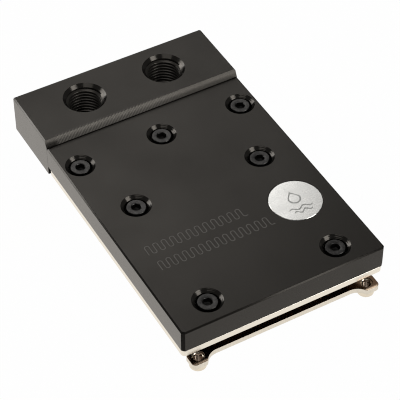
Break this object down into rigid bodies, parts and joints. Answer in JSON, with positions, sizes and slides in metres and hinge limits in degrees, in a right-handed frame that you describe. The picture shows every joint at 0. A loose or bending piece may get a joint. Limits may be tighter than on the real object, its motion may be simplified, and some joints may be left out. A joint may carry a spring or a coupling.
{
  "type": "liquid cooling cold plate",
  "caption": "Flat rectangular water block with a black cover, nickel plated copper base, raised two port terminal block, round badge and an eared mounting plate on standoffs.",
  "frame": {"origin": "centre of the cold face that presses on the processor", "axes": "+Z points from the cold face up through the cover, +Y runs from the processor to the ports, +X to the right seen from the front"},
  "size_m": [0.076, 0.126, 0.0219],
  "materials": {
    "nickel_copper": "nickel plated copper, fine milled",
    "stainless": "rolled stainless sheet",
    "black_acetal": "milled black acetal, matte",
    "black_acetal_terminal": "milled black acetal, matte",
    "seal_rubber": "moulded nitrile",
    "plated_steel": "nickel plated sheet with sheared edges",
    "badge_aluminium": "brushed",
    "black_steel": "black oxide",
    "nickel_brass": "nickel plated, turned",
    "screw_steel": "stainless"
  },
  "bodies": {
    "root": {"base_plate": "nickel_copper", "jet_plate": "stainless", "top_cover": "black_acetal", "terminal_block": "black_acetal_terminal", "main_seal": "seal_rubber", "port_seal_left": "seal_rubber", "port_seal_right": "seal_rubber", "mounting_plate": "plated_steel", "badge_disc": "badge_aluminium", "cover_screw_1": "black_steel", "cover_screw_2": "black_steel", "cover_screw_3": "black_steel", "cover_screw_4": "black_steel", "cover_screw_5": "black_steel", "cover_screw_6": "black_steel", "cover_screw_7": "black_steel", "terminal_screw_1": "black_steel", "terminal_screw_2": "black_steel", "terminal_screw_3": "black_steel", "standoff_1": "nickel_brass", "standoff_2": "nickel_brass", "standoff_3": "nickel_brass", "standoff_4": "nickel_brass", "plate_screw_1": "screw_steel", "plate_screw_2": "screw_steel", "plate_screw_3": "screw_steel", "plate_screw_4": "screw_steel"}
  },
  "joints": []
}
